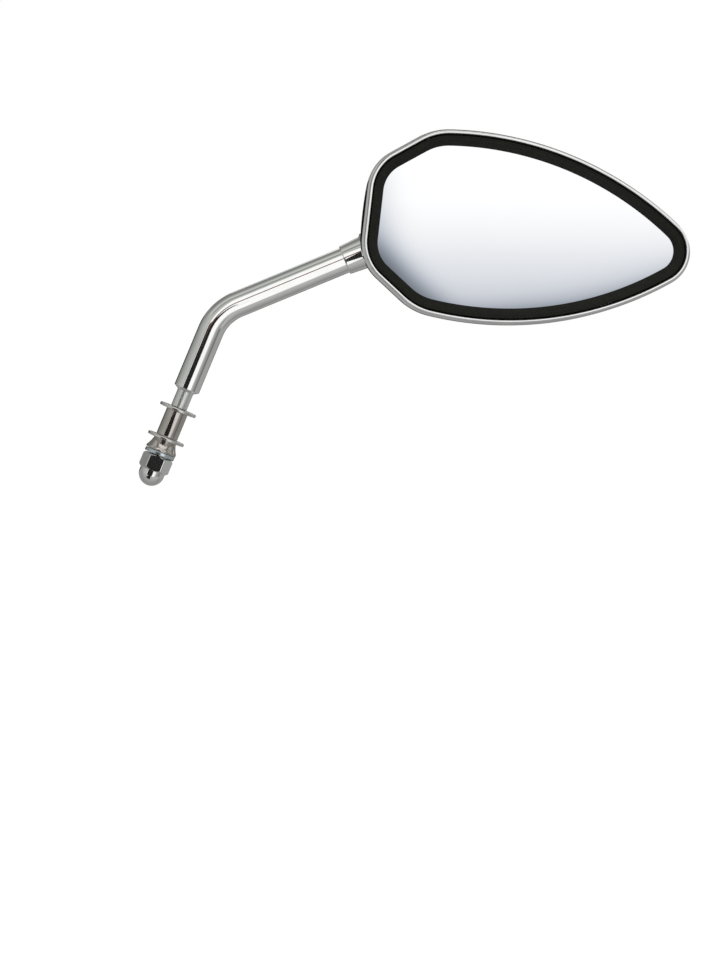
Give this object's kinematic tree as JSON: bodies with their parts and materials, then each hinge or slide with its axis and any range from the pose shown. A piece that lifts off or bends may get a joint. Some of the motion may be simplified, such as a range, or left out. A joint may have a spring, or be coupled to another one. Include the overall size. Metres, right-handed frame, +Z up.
{
  "type": "motorcycle mirror",
  "caption": "Motorcycle mirror with a drop-shaped ball-mounted head, a knuckle that turns on a bent round bar, and a mounting stud with washers, spacers, lock washer and cap nut.",
  "frame": {"origin": "centre of the bar's lower end face, where the mounting stud starts", "axes": "+Z up the stud's axis into the bar, +X the way the bar's upper leg leans, -Y the way the glass faces"},
  "size_m": [0.2097, 0.0648, 0.227],
  "materials": {
    "bar": "polished",
    "knuckle": "polished",
    "head": "polished",
    "cap_nut": "polished",
    "washer": "satin",
    "spacer": "satin",
    "lock_washer": "satin",
    "ball": "polished",
    "inner_steel": "satin",
    "nylon": "satin",
    "foam": "matte",
    "mirror": "polished",
    "gasket": "satin"
  },
  "bodies": {
    "stem": {"stem": "bar"},
    "hardware": {"upper_washer": "washer", "spacer_sleeve": "spacer", "lower_washer": "washer", "cone_spacer": "spacer", "lock_washer": "lock_washer"},
    "cap_nut": {"cap_nut": "cap_nut"},
    "collar_nut": {"collar_nut": "knuckle"},
    "knuckle": {"knuckle": "knuckle", "ball_screw": "inner_steel"},
    "ball": {"pivot_ball": "ball"},
    "liner": {"ball_liner": "nylon"},
    "head": {"head_shell": "head", "glass_gasket": "gasket", "mirror_glass": "mirror", "foam_pad": "foam", "pressure_cup": "nylon", "disc_spring": "inner_steel", "retainer_plate": "inner_steel", "retainer_screws": "inner_steel"}
  },
  "joints": [
    {"name": "hardware_slide", "type": "slide", "parent": "stem", "child": "hardware", "axis": [0, 0, 1], "range_m": [-0.06, 0]},
    {"name": "cap_nut_turn", "type": "hinge", "parent": "hardware", "child": "cap_nut", "pos_m": [0, 0, -0.034], "axis": [0, 0, 1], "continuous": true},
    {"name": "collar_nut_turn", "type": "hinge", "parent": "stem", "child": "collar_nut", "pos_m": [0.04667, 0, 0.08817], "axis": [0.7071, 0, 0.7071], "continuous": true},
    {"name": "knuckle_turn", "type": "hinge", "parent": "stem", "child": "knuckle", "pos_m": [0.07495, 0, 0.11645], "axis": [0.7071, 0, 0.7071], "range_deg": [-180, 180]},
    {"name": "ball_twist", "type": "hinge", "parent": "knuckle", "child": "ball", "pos_m": [0.07845, -0.02144, 0.11995], "axis": [0.1591, -0.9744, 0.1591], "range_deg": [-180, 180]},
    {"name": "head_pan", "type": "hinge", "parent": "ball", "child": "liner", "pos_m": [0.07845, -0.02144, 0.11995], "axis": [-0.2762, 0.1108, 0.9547], "range_deg": [-15, 15]},
    {"name": "head_tilt", "type": "hinge", "parent": "liner", "child": "head", "pos_m": [0.07845, -0.02144, 0.11995], "axis": [0.9479, 0.1958, 0.2515], "range_deg": [-15, 15]}
  ]
}
